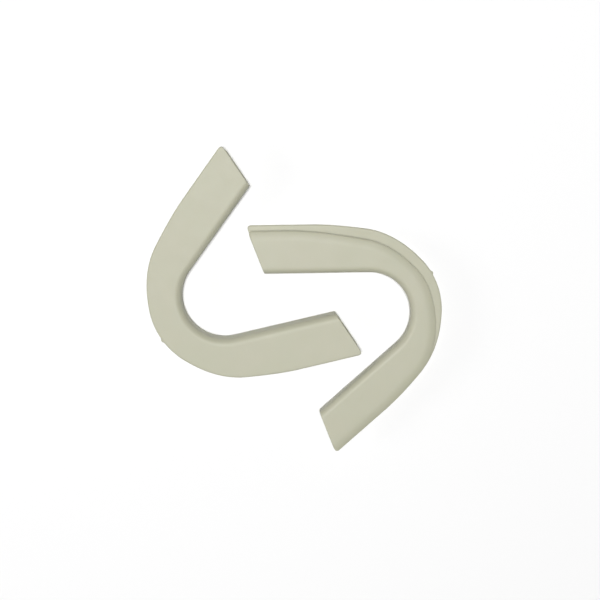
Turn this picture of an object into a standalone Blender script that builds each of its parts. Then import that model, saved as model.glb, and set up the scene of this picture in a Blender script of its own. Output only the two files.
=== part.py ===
"""A pair of one-piece moulded cheek retractors, lying loose on a table, in metres with +Z up.

Each retractor is a channel carried round a V with a rounded bend. The channel opens outwards, so
that the corner of the mouth and both lips sit in it. Its wide wall, the cheek flange, goes inside
the cheek. Its narrow wall, the lip flange, stays outside on the lips. The web joins the two
on the inner side of the V. The pair are mirror images: one lies with its cheek flange up, the
other with its cheek flange down.
"""

import math

import bmesh
import bpy
from mathutils import Matrix, Vector

# Driving dimensions of one retractor, in metres and degrees.
HALF_ANGLE = math.radians(20.65)  # between an arm and the middle line of the V
BEND_RADIUS = 0.0136  # inner face of the web round the bend, where it meets the cheek flange
REACH = 0.0258  # from the centre of the bend to the cut ends, along the middle line
HEIGHT = 0.00725  # over both flanges
WALL = 0.00125
WEB_DRAFT = 0.0004  # how far the web leans inwards on its way to the lip flange
CHEEK_WIDTH_BEND = 0.01025  # cheek flange, from the inner face of the web, at the bend
CHEEK_WIDTH_ARM = 0.0144  # and along the arms
LIP_WIDTH_BEND = 0.0070  # lip flange, measured from the same face
LIP_WIDTH_ARM = 0.0131
LIP_TAPER_LENGTH = 0.0032  # over which the lip flange thins towards its free edge
LIP_TAPER_DEPTH = 0.00075  # how much thinner it is there, all from its outer face
ROLL_RADIUS = 0.0020  # outside corners between the web and the flanges
FILLET_RADIUS = 0.00075  # inside corners of the channel
EDGE_RADIUS = 0.0005  # free edges of the flanges
TIP_RADIUS = 0.0015  # outer corners of the flanges at the cut ends, seen from above

# Where each flange starts to widen and over how much of the path. The path counts from 0 at the
# vertex of the bend to 1 where an arm starts and 2 at a cut end. It is negative on the arm that
# the gate stub is next to. On the other arm the lip flange starts to widen sooner.
CHEEK_GROWS_FROM = 0.35
CHEEK_GROWS_OVER = 1.12
LIP_GROWS_FROM = 0.35
LIP_GROWS_SOONER = 0.25
LIP_GROWS_OVER = 1.35

# The stub that is left where the plastic entered the mould, on the edge of the cheek flange.
LEFT_GATE_ANGLE = math.radians(1.5)  # from the vertex, anticlockwise seen from above
RIGHT_GATE_ANGLE = math.radians(10.0)
GATE_WIDTH = 0.0012
GATE_PROUD = 0.0004
GATE_THICKNESS = 0.0008

# How finely the curves are divided.
BEND_STEPS = 28
ARM_STEPS = 10
TIP_STEPS = 4
TAPER_STEPS = 4
CORNER_STEPS = 4

# How the pair lies: the centre of each bend, and the way each V opens.
LEFT_CENTRE = (-0.022465, 0.002349)
LEFT_OPENS = math.radians(34.1)
RIGHT_CENTRE = (0.022786, -0.003271)
RIGHT_OPENS = math.radians(201.6)

IVORY = (0.60, 0.60, 0.49, 1.0)


def clear_scene():
    for item in list(bpy.data.objects):
        bpy.data.objects.remove(item, do_unlink=True)


def moulded_plastic(name):
    """Natural ivory nylon with a fine matt mould finish."""
    material = bpy.data.materials.new(name)
    material.use_nodes = True
    shader = material.node_tree.nodes["Principled BSDF"]
    shader.inputs["Base Color"].default_value = IVORY
    shader.inputs["Roughness"].default_value = 0.5
    shader.inputs["Metallic"].default_value = 0.0
    return material


def smooth_step(value):
    value = min(max(value, 0.0), 1.0)
    return value * value * (3.0 - 2.0 * value)


def tip_length():
    """The tip radius as a share of the cheek flange's outer edge along an arm."""
    outer_radius = BEND_RADIUS + CHEEK_WIDTH_ARM
    edge_length = (REACH + outer_radius * math.sin(HALF_ANGLE)) / math.cos(HALF_ANGLE)
    return TIP_RADIUS / edge_length


def flange_width(place, at_bend, on_arm, grows_from, grows_over):
    """The width at a place on the path, with the corner at the cut end rounded off."""
    away = abs(place)
    width = at_bend + (on_arm - at_bend) * smooth_step((away - grows_from) / grows_over)
    into_tip = min(max(1.0 + (away - 2.0) / tip_length(), 0.0), 1.0)
    return width - TIP_RADIUS * (1.0 - math.sqrt(1.0 - into_tip * into_tip))


def rounded_outline(corners):
    """Points round a polygon whose corners (x, z, radius) are each turned into an arc.

    A corner of no radius stays one point.
    """
    points = []
    for index, (x, z, radius) in enumerate(corners):
        corner = Vector((x, z))
        if radius == 0.0:
            points.append(corner)
            continue
        before = Vector(corners[index - 1][:2]) - corner
        after = Vector(corners[(index + 1) % len(corners)][:2]) - corner
        centre = corner + (before.normalized() + after.normalized()) * radius
        start = corner + before.normalized() * radius - centre
        finish = corner + after.normalized() * radius - centre
        for step in range(CORNER_STEPS + 1):
            turn = 0.5 * math.pi * step / CORNER_STEPS
            points.append(centre + start * math.cos(turn) + finish * math.sin(turn))
    return points


def thinned(point, lip):
    """A point of the outline after the lip flange is thinned from its outer face to its free edge."""
    into_taper = min(max(1.0 + (point.x - lip) / LIP_TAPER_LENGTH, 0.0), 1.0)
    from_inner_face = max(point.y - (HEIGHT - WALL), 0.0) / WALL
    return Vector((point.x, point.y - LIP_TAPER_DEPTH * into_taper**2 * from_inner_face))


def section(place):
    """The channel's outline at a place on the path: x outwards from the web, z up from the cheek side."""
    cheek = flange_width(
        place, CHEEK_WIDTH_BEND, CHEEK_WIDTH_ARM, CHEEK_GROWS_FROM, CHEEK_GROWS_OVER
    )
    lip_from = LIP_GROWS_FROM - (LIP_GROWS_SOONER if place > 0.0 else 0.0)
    lip = flange_width(place, LIP_WIDTH_BEND, LIP_WIDTH_ARM, lip_from, LIP_GROWS_OVER)
    taper = [lip - LIP_TAPER_LENGTH * (step + 1.0) / TAPER_STEPS for step in range(TAPER_STEPS)]
    outline = rounded_outline(
        [
            (0.0, 0.0, ROLL_RADIUS),
            (cheek, 0.0, EDGE_RADIUS),
            (cheek, WALL, EDGE_RADIUS),
            (WALL, WALL, FILLET_RADIUS),
            (WALL - WEB_DRAFT, HEIGHT - WALL, FILLET_RADIUS),
            (lip, HEIGHT - WALL, EDGE_RADIUS),
            (lip, HEIGHT, EDGE_RADIUS),
            *((x, HEIGHT, 0.0) for x in taper),
            (-WEB_DRAFT, HEIGHT, ROLL_RADIUS),
        ]
    )
    return [thinned(point, lip) for point in outline]


def on_path(place, outwards):
    """The plan point at a place on the path and a distance outwards from the web's inner face.

    Round the bend it lies on an arc about the origin. Along an arm it runs straight on, for the
    length that brings it to the plane of the cut ends, which is square to the middle line.
    """
    side = math.copysign(1.0, place)
    turned = min(abs(place), 1.0) * (0.5 * math.pi - HALF_ANGLE)
    normal = Vector((-math.cos(turned), side * math.sin(turned)))
    point = normal * (BEND_RADIUS + outwards)
    along = Vector((math.cos(HALF_ANGLE), side * math.sin(HALF_ANGLE)))
    length = (REACH - point.x) / along.x
    return point + along * length * max(abs(place) - 1.0, 0.0)


def places():
    """Stations along the path, from one cut end round the bend to the other."""
    bend = [-1.0 + 2.0 * step / BEND_STEPS for step in range(BEND_STEPS + 1)]
    straight = 1.0 - tip_length()
    arm = [1.0 + straight * (step + 1.0) / ARM_STEPS for step in range(ARM_STEPS)]
    for step in range(TIP_STEPS):
        turn = 0.5 * math.pi * (step + 1.0) / TIP_STEPS
        arm.append(2.0 - tip_length() * (1.0 - math.sin(turn)))
    return [-place for place in reversed(arm)] + bend + arm


def ring(place):
    return [Vector((*on_path(place, x), z)) for x, z in section(place)]


def channel_mesh(name):
    """The channel: its first section as a face, extruded from station to station along the path."""
    shape = bmesh.new()
    rings = [ring(place) for place in places()]
    first = shape.faces.new([shape.verts.new(point) for point in rings[0]])
    end = first
    for points in rings[1:]:
        made = bmesh.ops.extrude_face_region(shape, geom=[end])["geom"]
        if end is not first:
            bmesh.ops.delete(shape, geom=[end], context="FACES_ONLY")
        end = next(item for item in made if isinstance(item, bmesh.types.BMFace))
        for vertex, point in zip(end.verts, points):
            vertex.co = point
    bmesh.ops.recalc_face_normals(shape, faces=shape.faces)
    mesh = bpy.data.meshes.new(name)
    shape.to_mesh(mesh)
    shape.free()
    return mesh


def gate_stub(name, gate_angle):
    """A small block across the edge of the cheek flange near the vertex, used to join the stub on."""
    shape = bmesh.new()
    bmesh.ops.create_cube(shape, size=1.0)
    reach = 2.0 * GATE_PROUD + EDGE_RADIUS
    bmesh.ops.scale(shape, verts=shape.verts, vec=(reach, GATE_WIDTH, GATE_THICKNESS))
    edge = BEND_RADIUS + CHEEK_WIDTH_BEND + GATE_PROUD - 0.5 * reach
    bmesh.ops.translate(shape, verts=shape.verts, vec=(-edge, 0.0, 0.5 * WALL))
    bmesh.ops.rotate(shape, verts=shape.verts, matrix=Matrix.Rotation(gate_angle, 3, "Z"))
    mesh = bpy.data.meshes.new(name)
    shape.to_mesh(mesh)
    shape.free()
    stub = bpy.data.objects.new(name, mesh)
    stub.hide_render = True
    stub.display_type = "WIRE"
    bpy.context.collection.objects.link(stub)
    return stub


def retractor(name, centre, opens, gate_angle, cheek_side_up):
    """One retractor, laid at its place with its bend's centre at the object's origin."""
    mesh = channel_mesh(name)
    stub = gate_stub(name + "_gate", gate_angle)
    if cheek_side_up:
        flip = Matrix.Translation((0.0, 0.0, HEIGHT)) @ Matrix.Scale(-1.0, 4, (0.0, 0.0, 1.0))
        for turned in (mesh, stub.data):
            turned.transform(flip)
            turned.flip_normals()
    item = bpy.data.objects.new(name, mesh)
    bpy.context.collection.objects.link(item)
    item.location = (*centre, 0.0)
    item.rotation_euler = (0.0, 0.0, opens)
    stub.parent = item
    join = item.modifiers.new("gate stub", "BOOLEAN")
    join.operation = "UNION"
    join.solver = "EXACT"
    join.object = stub
    mesh.materials.append(moulded_plastic(name + "_plastic"))
    mesh.shade_smooth()
    mesh.set_sharp_from_angle(angle=math.radians(40.0))
    return item


def main():
    clear_scene()
    retractor("left_retractor", LEFT_CENTRE, LEFT_OPENS, LEFT_GATE_ANGLE, cheek_side_up=True)
    retractor("right_retractor", RIGHT_CENTRE, RIGHT_OPENS, RIGHT_GATE_ANGLE, cheek_side_up=False)


main()
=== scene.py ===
"""A pair of one-piece moulded cheek retractors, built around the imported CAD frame.

Each retractor is a channel carried round a V with a rounded bend. The surfaces are worked out as
whole numpy grids: one parameter runs along the V, the other round the channel's outline.
"""

import math

import bmesh
import bpy
import numpy as np
from mathutils import Matrix, Vector


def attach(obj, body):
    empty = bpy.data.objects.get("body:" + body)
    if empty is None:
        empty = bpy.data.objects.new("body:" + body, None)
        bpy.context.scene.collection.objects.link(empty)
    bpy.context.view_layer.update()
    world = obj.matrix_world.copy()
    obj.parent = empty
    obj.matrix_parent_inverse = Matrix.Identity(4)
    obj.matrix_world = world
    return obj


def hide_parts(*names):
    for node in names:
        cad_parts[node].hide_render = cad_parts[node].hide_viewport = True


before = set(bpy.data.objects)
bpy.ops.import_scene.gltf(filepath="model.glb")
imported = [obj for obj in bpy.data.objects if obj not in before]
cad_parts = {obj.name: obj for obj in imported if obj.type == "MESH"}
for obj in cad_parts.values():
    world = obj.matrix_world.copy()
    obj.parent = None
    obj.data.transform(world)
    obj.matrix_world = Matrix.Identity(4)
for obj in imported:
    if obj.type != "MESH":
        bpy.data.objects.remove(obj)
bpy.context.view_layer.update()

bl_info = {
    "name": "Moulded Cheek Retractors",
    "version": (1, 0, 0),
    "blender": (4, 5, 0),
    "location": "View3D > Sidebar > Retractors",
    "description": "Makes a mirrored pair of one-piece moulded cheek retractors",
    "category": "Add Mesh",
}

MM = 0.001

# Where the curves of the surface are divided.
BEND_STATIONS = 121
ARM_STATIONS = 60
TIP_STATIONS = 25
CORNER_POINTS = 9
FLAT_POINTS = 15

GATE_HALF_HEIGHT = 0.42  # half the gate stub's height, as a share of the wall
GATE_REACH = 0.6  # no part of the stub lies further along the path than this
END_DRAWN_IN = 0.98  # share of the end radius taken in at a cut end, so that no corner arc closes up
SHARP_ANGLE = math.radians(50.0)  # edges sharper than this are not smoothed over


# --- small helpers --------------------------------------------------------------------------------


def linear(hex_value):
    """An sRGB hex colour as linear red, green, blue and alpha."""
    shares = [int(hex_value[i : i + 2], 16) / 255.0 for i in (1, 3, 5)]
    light = [s / 12.92 if s <= 0.04045 else ((s + 0.055) / 1.055) ** 2.4 for s in shares]
    return (*light, 1.0)


def add_node(tree, kind, settings=None, inputs=None, links=None):
    """Adds one shader node: its settings, and the values and links of inputs by name or number."""
    node = tree.nodes.new(kind)
    for name, value in (settings or {}).items():
        setattr(node, name, value)
    for name, value in (inputs or {}).items():
        node.inputs[name].default_value = value
    for name, socket in (links or {}).items():
        tree.links.new(socket, node.inputs[name])
    return node


def smooth_step(value):
    """0 below 0, 1 above 1, and an S-shaped cubic between."""
    value = np.clip(value, 0.0, 1.0)
    return value * value * (3.0 - 2.0 * value)


# --- the sizes that a user would change -----------------------------------------------------------


def length(name, description, millimetres):
    """A length, given in millimetres and kept in metres."""
    return bpy.props.FloatProperty(
        name=name, description=description, default=millimetres * MM, unit="LENGTH", precision=5
    )


def angle(name, description, degrees):
    """An angle, given in degrees and kept in radians."""
    return bpy.props.FloatProperty(
        name=name, description=description, default=math.radians(degrees), subtype="ANGLE"
    )


def place_on_path(name, description, default):
    """A share of the path: 0 at the vertex of the bend, 1 where an arm starts, 2 at a cut end."""
    return number(name, description, default)


def point(name, description, metres):
    """A point in space, in metres."""
    return bpy.props.FloatVectorProperty(
        name=name, description=description, default=metres, subtype="TRANSLATION", precision=5
    )


def number(name, description, default):
    """A plain number."""
    return bpy.props.FloatProperty(name=name, description=description, default=default)


def power(name, description, watts):
    """The power of a light, in watts."""
    return bpy.props.FloatProperty(name=name, description=description, default=watts, unit="POWER")


def hex_colour(name, description, default):
    """An sRGB colour as a hex value."""
    return bpy.props.StringProperty(name=name, description=description, default=default)


class RetractorSizes(bpy.types.PropertyGroup):
    """Sizes of one retractor."""

    half_angle: angle("Half angle", "Between an arm and the middle line of the V", 20.65)
    bend_radius: length("Bend radius", "Inner face of the web round the bend", 13.6)
    reach: length("Reach", "From the centre of the bend to the cut ends, along the middle line", 25.8)
    height: length("Height", "Over both flanges", 7.25)
    wall: length("Wall", "Thickness of the moulding", 1.25)
    web_draft: length("Web draft", "How far the web leans in on its way to the lip flange", 0.4)
    cheek_bend: length("Cheek flange at the bend", "From the inner face of the web", 10.25)
    cheek_arm: length("Cheek flange along the arms", "From the inner face of the web", 14.4)
    lip_bend: length("Lip flange at the bend", "From the inner face of the web", 7.0)
    lip_arm: length("Lip flange along the arms", "From the inner face of the web", 13.1)
    taper_length: length("Taper length", "Over which the lip flange thins to its free edge", 3.2)
    taper_depth: length("Taper depth", "How much thinner the lip flange's free edge is", 0.75)
    roll_radius: length("Roll radius", "Outside corners between the web and the flanges", 2.0)
    fillet_radius: length("Fillet radius", "Inside corners of the channel", 0.75)
    edge_radius: length("Edge radius", "Free edges of the flanges", 0.5)
    end_radius: length("End radius", "Rounding round the cut ends", 0.25)
    tip_radius: length("Tip radius", "Outer corners of the flanges at the ends, in plan", 1.5)
    gate_width: length("Gate width", "Width of the stub left by the mould's gate", 1.2)
    gate_proud: length("Gate height", "How far the stub stands out of the edge", 0.4)
    cheek_grows_from: place_on_path("Cheek flange grows from", "Where it starts to widen", 0.35)
    cheek_grows_over: place_on_path("Cheek flange grows over", "How much of the path it takes", 1.12)
    lip_grows_from: place_on_path("Lip flange grows from", "Where it starts to widen", 0.35)
    lip_grows_sooner: place_on_path("Lip flange grows sooner", "On the arm away from the gate", 0.25)
    lip_grows_over: place_on_path("Lip flange grows over", "How much of the path it takes", 1.35)


class RetractorPlaces(bpy.types.PropertyGroup):
    """How the pair lies: the centre of each bend, and the way each V opens."""

    left_centre: point("Left centre", "Centre of the left bend", (-0.022465, 0.002349, 0.0))
    left_opens: angle("Left opens", "Direction that the left V opens in", 34.1)
    right_centre: point("Right centre", "Centre of the right bend", (0.022786, -0.003271, 0.0))
    right_opens: angle("Right opens", "Direction that the right V opens in", 201.6)
    left_gate: angle("Left gate", "From the vertex to the gate stub, anticlockwise from above", 1.5)
    right_gate: angle("Right gate", "From the vertex to the gate stub, anticlockwise from above", 10.0)


class RetractorColours(bpy.types.PropertyGroup):
    """Colours of the plastic and of the sheet that the pair lies on, as sRGB hex values."""

    plastic: hex_colour("Plastic", "Main colour of the natural nylon", "#B1B09C")
    plastic_warm: hex_colour("Plastic, warm", "Slightly warmer flow patches", "#B5B19F")
    plastic_cool: hex_colour("Plastic, cool", "Slightly greener flow patches", "#ACAF98")
    backdrop: hex_colour("Backdrop", "Sheet under the pair", "#F0F0F0")


class RetractorStage(bpy.types.PropertyGroup):
    """Places and strengths of the camera and the lights."""

    camera_place: point("Camera place", "Where the camera stands", (-0.01374, 0.06688, 0.3941))
    camera_aim: point("Camera aim", "What the middle of the view looks at", (0.00135, 0.00024, 0.0))
    camera_lens: number("Camera lens", "Focal length in millimetres, on a 36 mm sensor", 75.47)
    overhead_place: point("Overhead place", "Softbox close to the camera's line", (-0.08, 0.18, 1.50))
    overhead_size: length("Overhead size", "Width of the overhead softbox", 350.0)
    overhead_power: power("Overhead power", "Power of the overhead softbox", 25.0)
    side_place: point("Side place", "Weak softbox on the left", (-1.30, -0.15, 0.50))
    side_size: length("Side size", "Width of the side softbox", 400.0)
    side_power: power("Side power", "Power of the side softbox", 2.5)
    air_strength: number("Air strength", "Even light from above the horizon", 0.03)
    floor_strength: number("Floor strength", "Brightness below the horizon, past the sheet", 0.96)
    floor_half_side: length("Floor half side", "Half the side of the sheet", 400.0)


# --- the surface of one retractor -----------------------------------------------------------------


def flange_width(sizes, place, at_bend, on_arm, grows_from, grows_over):
    """Width along the path: place is 0 at the vertex, 1 where an arm starts and 2 at a cut end.

    A smooth step grows the bend's width to the arm's. Over the last tip radius before the end the
    width shrinks by the radius times one minus the height of a unit quarter circle.
    """
    away = np.abs(place)
    width = at_bend + (on_arm - at_bend) * smooth_step((away - grows_from) / grows_over)
    into_tip = np.clip(1.0 + (away - 2.0) / tip_length(sizes), 0.0, 1.0)
    return width - sizes.tip_radius * (1.0 - np.sqrt(1.0 - into_tip**2))


def tip_length(sizes):
    """The tip radius as a share of the cheek flange's outer edge along an arm."""
    outer_radius = sizes.bend_radius + sizes.cheek_arm
    run = sizes.reach + outer_radius * math.sin(sizes.half_angle)
    return sizes.tip_radius * math.cos(sizes.half_angle) / run


def stations(sizes):
    """Places along the path and how far the outline is drawn in there, to round off the cut ends.

    Places are even round the bend and along each arm, and follow a sine over the tip. Over the last
    end radius the inset is the radius times one minus the height of a unit quarter circle.
    """
    tip = tip_length(sizes)
    bend = np.linspace(-1.0, 1.0, BEND_STATIONS)
    arm = 1.0 + np.linspace(0.0, 1.0 - tip, ARM_STATIONS)[1:]
    turn = np.linspace(0.0, 0.5 * math.pi, TIP_STATIONS)[1:]
    arm = np.concatenate([arm, 2.0 - tip * (1.0 - np.sin(turn))])
    place = np.concatenate([-arm[::-1], bend, arm])
    short = tip * sizes.end_radius / sizes.tip_radius
    into_end = np.clip(1.0 + (np.abs(place) - 2.0) / short, 0.0, 1.0)
    return place, sizes.end_radius * END_DRAWN_IN * (1.0 - np.sqrt(1.0 - into_end**2))


def outline(sizes, place, drawn_in):
    """The channel's closed outline at every station, as arrays (points, stations).

    The outline is an eight-cornered polygon, x outwards from the web and z up from the cheek
    side. Each corner becomes a quarter circle, and each side gets evenly spaced points.
    Drawing in moves the sides into the plastic, so outer corners tighten and inner ones widen.
    Last, the lip flange is thinned from its outer face by the square of the way into its taper.
    """
    cheek = flange_width(
        sizes, place, sizes.cheek_bend, sizes.cheek_arm, sizes.cheek_grows_from, sizes.cheek_grows_over
    )
    lip_from = sizes.lip_grows_from - np.where(place > 0.0, sizes.lip_grows_sooner, 0.0)
    lip = flange_width(sizes, place, sizes.lip_bend, sizes.lip_arm, lip_from, sizes.lip_grows_over)
    low = np.zeros_like(place)
    lean = low - sizes.web_draft
    wall = low + sizes.wall
    top = low + sizes.height
    roll = sizes.roll_radius
    fillet = sizes.fillet_radius
    edge = sizes.edge_radius
    # Each corner: x and z, which way the plastic lies along each, and the radius. An inner
    # corner's radius is negative.
    corners = (
        (low, low, 1, 1, roll),
        (cheek, low, -1, 1, edge),
        (cheek, wall, -1, -1, edge),
        (wall, wall, -1, -1, -fillet),
        (wall + lean, top - wall, -1, 1, -fillet),
        (lip, top - wall, -1, 1, edge),
        (lip, top, -1, -1, edge),
        (lean, top, 1, -1, roll),
    )
    corner_x = np.array([x + x_inwards * drawn_in for x, _, x_inwards, _, _ in corners])
    corner_z = np.array([z + z_inwards * drawn_in for _, z, _, z_inwards, _ in corners])
    points = np.stack([corner_x, corner_z], axis=1)
    before = np.roll(points, 1, axis=0) - points
    after = np.roll(points, -1, axis=0) - points
    before /= np.linalg.norm(before, axis=1, keepdims=True)
    after /= np.linalg.norm(after, axis=1, keepdims=True)
    signed = np.array([corner[-1] for corner in corners])[:, None, None]
    radius = np.where(signed > 0, signed - drawn_in, -signed + drawn_in)
    centre = points + (before + after) * radius
    turn = np.linspace(0.0, 0.5 * math.pi, CORNER_POINTS)[None, :, None, None]
    arcs = (
        centre[:, None]
        - after[:, None] * radius[:, None] * np.cos(turn)
        - before[:, None] * radius[:, None] * np.sin(turn)
    )
    start = arcs[:, -1:]
    finish = np.roll(arcs[:, :1], -1, axis=0)
    share = np.linspace(0.0, 1.0, FLAT_POINTS + 2)[None, 1:-1, None, None]
    sides = start + (finish - start) * share
    ring = np.concatenate([arcs, sides], axis=1).reshape(-1, 2, place.size)
    x = ring[:, 0]
    z = ring[:, 1]
    into_taper = np.clip(1.0 + (x - lip) / sizes.taper_length, 0.0, 1.0)
    from_inner_face = np.maximum(z - (sizes.height - sizes.wall), 0.0) / sizes.wall
    return x, z - sizes.taper_depth * into_taper**2 * from_inner_face


def gate_bump(sizes, gate_angle, place, x, z):
    """How far the gate stub pushes the cheek flange's edge out.

    The push is a flat-topped bell: e to the minus fourth power of the distance along the edge, in
    half gate widths, and of the distance across it, in half stub heights. A smooth step over half
    the edge radius keeps it to the edge.
    """
    turned = place * (0.5 * math.pi - sizes.half_angle)
    along = (turned + gate_angle) * (sizes.bend_radius + sizes.cheek_bend)
    half_height = GATE_HALF_HEIGHT * sizes.wall
    across = (z - 0.5 * sizes.wall) / half_height
    on_edge = smooth_step((x - (sizes.cheek_bend - sizes.edge_radius)) / (0.5 * sizes.edge_radius))
    bell = np.exp(-((along / (0.5 * sizes.gate_width)) ** 4) - across**4)
    return sizes.gate_proud * bell * on_edge * (np.abs(place) < GATE_REACH)


def to_plan(sizes, place, outwards):
    """Plan points at distances outwards from the web: an arc round the bend, straight along an arm.

    Along an arm every point runs on for the length that brings it to the plane of the cut ends.
    """
    side = np.where(place < 0.0, -1.0, 1.0)
    turned = np.minimum(np.abs(place), 1.0) * (0.5 * math.pi - sizes.half_angle)
    x = -np.cos(turned) * (sizes.bend_radius + outwards)
    y = side * np.sin(turned) * (sizes.bend_radius + outwards)
    run = (sizes.reach - x) * np.maximum(np.abs(place) - 1.0, 0.0)
    return x + run, y + side * run * math.tan(sizes.half_angle)


def channel_surface(sizes, gate_angle, cheek_side_up):
    """Points of the moulding as an array (stations, ring, 3), in its own frame."""
    place, drawn_in = stations(sizes)
    x, z = outline(sizes, place, drawn_in)
    x = x + gate_bump(sizes, gate_angle, place, x, z)
    plan_x, plan_y = to_plan(sizes, place, x)
    if cheek_side_up:
        z = sizes.height - z
    return np.stack([plan_x, plan_y, z], axis=2).transpose(1, 0, 2)


def grid_faces(rows, columns):
    """Quads of a grid that closes round its columns, as an array (faces, 4)."""
    row, column = np.meshgrid(np.arange(rows - 1), np.arange(columns), indexing="ij")
    here = row * columns + column
    beside = row * columns + (column + 1) % columns
    quads = np.stack([here, beside, beside + columns, here + columns], axis=2)
    return quads.reshape(-1, 4)


def moulding_mesh(name, grid):
    """A closed mesh from a grid of rings: its quads and a face over each cut end."""
    rows, columns = grid.shape[:2]
    faces = grid_faces(rows, columns).tolist()
    faces.append(list(range(columns)))
    faces.append(list(range((rows - 1) * columns, rows * columns)))
    mesh = bpy.data.meshes.new(name)
    mesh.from_pydata(grid.reshape(-1, 3).tolist(), [], faces)
    mesh.update()
    return mesh


def face_outwards(item):
    """Turns every face of a closed mesh to point outwards."""
    shape = bmesh.new()
    shape.from_mesh(item.data)
    bmesh.ops.recalc_face_normals(shape, faces=shape.faces)
    shape.to_mesh(item.data)
    shape.free()


def make_retractor(scene, side, centre, opens, gate_angle, cheek_side_up):
    """One retractor in its place, standing for its CAD node and moving with its body."""
    grid = channel_surface(scene.retractor_sizes, gate_angle, cheek_side_up)
    cos = math.cos(opens)
    sin = math.sin(opens)
    x = grid[..., 0] * cos - grid[..., 1] * sin + centre[0]
    y = grid[..., 0] * sin + grid[..., 1] * cos + centre[1]
    placed = np.stack([x, y, grid[..., 2]], axis=2)
    name = side + "_moulding"
    item = bpy.data.objects.new(name, moulding_mesh(name, placed))
    scene.collection.objects.link(item)
    face_outwards(item)
    item.data.materials.append(moulded_nylon("moulded_nylon_" + side, scene.retractor_colours))
    item.data.shade_smooth()
    item.data.set_sharp_from_angle(angle=SHARP_ANGLE)
    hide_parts(side + "_retractor")
    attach(item, side + "_retractor")


# --- materials ------------------------------------------------------------------------------------


FLOW_PATCH = 11.0 * MM  # width of the patches that the melt leaves as it flows
SHEEN_PATCH = 4.0 * MM  # width of the patches of slightly different gloss
SMOOTHEST = 0.50  # roughness of the glossiest patch
ROUGHEST = 0.62  # and of the dullest
GRAIN_PIT = 0.3 * MM
PIT_DEPTH = 0.05 * MM
NYLON_IOR = 1.53
LIGHT_ENTERS = 1.5 * MM  # how far light spreads inside the plastic
SHARE_THAT_ENTERS = 0.12
SPREAD_BY_COLOUR = (1.0, 0.9, 0.6)  # red light goes furthest and blue least, which warms the edges
PAPER_ROUGHNESS = 0.9
PAPER_FIBRE = 1.1 * MM
FIBRE_DEPTH = 0.03 * MM


def noise(tree, place, width, detail):
    """A noise whose features are about as wide as given, in metres."""
    made = add_node(
        tree,
        "ShaderNodeTexNoise",
        inputs={"Scale": 1.0 / width, "Detail": detail},
        links={"Vector": place},
    )
    return made.outputs["Fac"]


def moulded_nylon(name, colours):
    """Natural unfilled nylon, injection moulded against a fine spark-eroded tool.

    The eye sees an ivory that light enters a little way, a soft satin sheen with no mirror
    image, faint warmer and greener flow patches, and a grain of fine pits. The real grain is
    about 0.05 mm; here it is drawn 0.3 mm coarse, so that it shows.
    """
    material = bpy.data.materials.new(name)
    material.use_nodes = True
    tree = material.node_tree
    tree.nodes.clear()
    place = add_node(tree, "ShaderNodeTexCoord").outputs["Object"]
    flow = noise(tree, place, FLOW_PATCH, 3.0)
    patch = noise(tree, place, SHEEN_PATCH, 2.0)
    grain = noise(tree, place, GRAIN_PIT, 2.0)
    tinted = add_node(
        tree,
        "ShaderNodeMix",
        settings={"data_type": "RGBA"},
        inputs={6: linear(colours.plastic_cool), 7: linear(colours.plastic_warm)},
        links={0: flow},
    )
    colour = add_node(
        tree,
        "ShaderNodeMix",
        settings={"data_type": "RGBA"},
        inputs={7: linear(colours.plastic)},
        links={0: patch, 6: tinted.outputs[2]},
    )
    sheen = add_node(
        tree,
        "ShaderNodeMapRange",
        inputs={"To Min": SMOOTHEST, "To Max": ROUGHEST},
        links={"Value": patch},
    )
    pits = add_node(
        tree, "ShaderNodeBump", inputs={"Strength": 0.1, "Distance": PIT_DEPTH}, links={"Height": grain}
    )
    shader = add_node(
        tree,
        "ShaderNodeBsdfPrincipled",
        inputs={
            "IOR": NYLON_IOR,
            "Subsurface Weight": SHARE_THAT_ENTERS,
            "Subsurface Radius": SPREAD_BY_COLOUR,
            "Subsurface Scale": LIGHT_ENTERS,
        },
        links={
            "Base Color": colour.outputs[2],
            "Roughness": sheen.outputs["Result"],
            "Normal": pits.outputs["Normal"],
        },
    )
    add_node(tree, "ShaderNodeOutputMaterial", links={"Surface": shader.outputs["BSDF"]})
    return material


def backdrop_paper(name, colours):
    """Seamless studio paper, calendered: an even near-white with a trace of fibre."""
    material = bpy.data.materials.new(name)
    material.use_nodes = True
    tree = material.node_tree
    tree.nodes.clear()
    place = add_node(tree, "ShaderNodeTexCoord").outputs["Object"]
    fibre = noise(tree, place, PAPER_FIBRE, 3.0)
    bump = add_node(
        tree, "ShaderNodeBump", inputs={"Strength": 0.05, "Distance": FIBRE_DEPTH}, links={"Height": fibre}
    )
    shader = add_node(
        tree,
        "ShaderNodeBsdfPrincipled",
        inputs={"Base Color": linear(colours.backdrop), "Roughness": PAPER_ROUGHNESS},
        links={"Normal": bump.outputs["Normal"]},
    )
    add_node(tree, "ShaderNodeOutputMaterial", links={"Surface": shader.outputs["BSDF"]})
    return material


# --- the stage ------------------------------------------------------------------------------------


SENSOR_WIDTH = 36.0  # in millimetres, as the lens is
CLIP_START = 0.01


def area_light(scene, name, place, size, watts):
    """A round softbox that faces the middle of the pair."""
    light = bpy.data.lights.new(name, "AREA")
    light.shape = "DISK"
    light.size = size
    light.energy = watts
    item = bpy.data.objects.new(name, light)
    scene.collection.objects.link(item)
    item.location = place
    item.rotation_euler = (-Vector(place)).to_track_quat("-Z", "Y").to_euler()


def floor_sheet(scene, half):
    """A square sheet of paper at the height that the pair rests on."""
    mesh = bpy.data.meshes.new("floor_sheet")
    corners = [(-half, -half, 0.0), (half, -half, 0.0), (half, half, 0.0), (-half, half, 0.0)]
    mesh.from_pydata(corners, [], [(0, 1, 2, 3)])
    mesh.materials.append(backdrop_paper("seamless_paper", scene.retractor_colours))
    floor = bpy.data.objects.new("floor_sheet", mesh)
    scene.collection.objects.link(floor)


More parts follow.
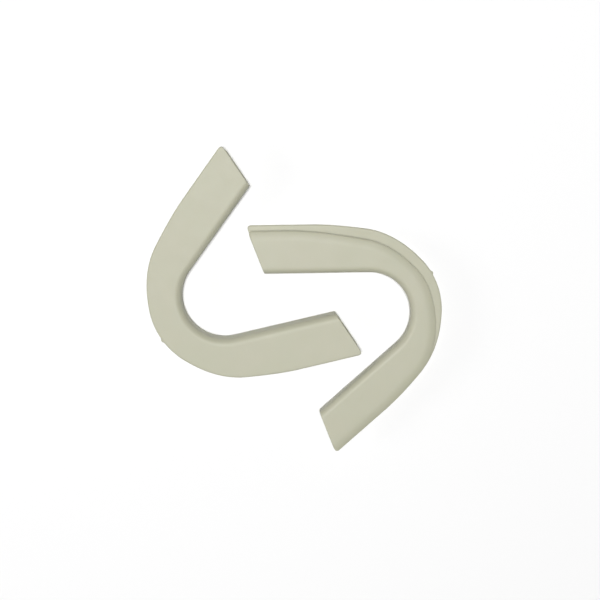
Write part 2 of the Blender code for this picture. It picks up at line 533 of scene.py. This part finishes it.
def studio_air(air_strength, floor_strength):
    """Even air above the horizon, and below it a pale floor that carries the sheet on."""
    world = bpy.data.worlds.new("studio_air")
    world.use_nodes = True
    tree = world.node_tree
    tree.nodes.clear()
    direction = add_node(tree, "ShaderNodeTexCoord").outputs["Generated"]
    height = add_node(tree, "ShaderNodeSeparateXYZ", links={"Vector": direction}).outputs["Z"]
    below = add_node(
        tree,
        "ShaderNodeMath",
        settings={"operation": "LESS_THAN"},
        inputs={1: 0.0},
        links={0: height},
    )
    strength = add_node(
        tree,
        "ShaderNodeMapRange",
        inputs={"To Min": air_strength, "To Max": floor_strength},
        links={"Value": below.outputs["Value"]},
    )
    background = add_node(
        tree,
        "ShaderNodeBackground",
        inputs={"Color": (1.0, 1.0, 1.0, 1.0)},
        links={"Strength": strength.outputs["Result"]},
    )
    add_node(tree, "ShaderNodeOutputWorld", links={"Surface": background.outputs["Background"]})
    return world


def camera(scene, place, aim, lens):
    """The camera, level with the X axis."""
    item = bpy.data.objects.new("camera", bpy.data.cameras.new("camera"))
    scene.collection.objects.link(item)
    item.data.sensor_width = SENSOR_WIDTH
    item.data.lens = lens
    item.data.clip_start = CLIP_START
    item.location = place
    down = (Vector(aim) - Vector(place)).normalized()
    right = (Vector((1.0, 0.0, 0.0)) - down * down.x).normalized()
    up = right.cross(down)
    item.rotation_euler = Matrix((right, up, -down)).transposed().to_euler()
    scene.camera = item


# --- operators ------------------------------------------------------------------------------------


class RETRACTOR_OT_left(bpy.types.Operator):
    """Make the left retractor, which lies with its cheek flange up"""

    bl_idname = "retractor.left"
    bl_label = "Left retractor"

    def execute(self, context):
        places = context.scene.retractor_places
        make_retractor(
            context.scene, "left", places.left_centre, places.left_opens, places.left_gate, True
        )
        return {"FINISHED"}


class RETRACTOR_OT_right(bpy.types.Operator):
    """Make the right retractor, which lies with its cheek flange down"""

    bl_idname = "retractor.right"
    bl_label = "Right retractor"

    def execute(self, context):
        places = context.scene.retractor_places
        make_retractor(
            context.scene, "right", places.right_centre, places.right_opens, places.right_gate, False
        )
        return {"FINISHED"}


class RETRACTOR_OT_stage(bpy.types.Operator):
    """Make the pale floor, the soft studio light and the camera"""

    bl_idname = "retractor.stage"
    bl_label = "Stage"

    def execute(self, context):
        scene = context.scene
        stage = scene.retractor_stage
        floor_sheet(scene, stage.floor_half_side)
        area_light(
            scene, "overhead_softbox", stage.overhead_place, stage.overhead_size, stage.overhead_power
        )
        area_light(scene, "side_softbox", stage.side_place, stage.side_size, stage.side_power)
        scene.world = studio_air(stage.air_strength, stage.floor_strength)
        scene.view_settings.view_transform = "Standard"
        camera(scene, stage.camera_place, stage.camera_aim, stage.camera_lens)
        return {"FINISHED"}


class RETRACTOR_PT_sidebar(bpy.types.Panel):
    """Lists the sizes, the places, the colours, the stage and the operators"""

    bl_idname = "RETRACTOR_PT_sidebar"
    bl_label = "Cheek retractors"
    bl_space_type = "VIEW_3D"
    bl_region_type = "UI"
    bl_category = "Retractors"

    def draw(self, context):
        for attribute in GROUPS:
            group = getattr(context.scene, attribute)
            box = self.layout.box()
            for name in group.bl_rna.properties.keys():
                if name not in {"rna_type", "name"}:
                    box.prop(group, name)
        for operator in OPERATORS:
            self.layout.operator(operator.bl_idname)


OPERATORS = (RETRACTOR_OT_stage, RETRACTOR_OT_left, RETRACTOR_OT_right)
GROUPS = {
    "retractor_sizes": RetractorSizes,
    "retractor_places": RetractorPlaces,
    "retractor_colours": RetractorColours,
    "retractor_stage": RetractorStage,
}
CLASSES = (*GROUPS.values(), *OPERATORS, RETRACTOR_PT_sidebar)


def register():
    for item in CLASSES:
        bpy.utils.register_class(item)
    for attribute, group in GROUPS.items():
        setattr(bpy.types.Scene, attribute, bpy.props.PointerProperty(type=group))


def unregister():
    for attribute in GROUPS:
        delattr(bpy.types.Scene, attribute)
    for item in reversed(CLASSES):
        bpy.utils.unregister_class(item)


def main():
    """Makes everything."""
    register()
    bpy.ops.retractor.stage()
    bpy.ops.retractor.left()
    bpy.ops.retractor.right()


if __name__ == "__main__":
    main()
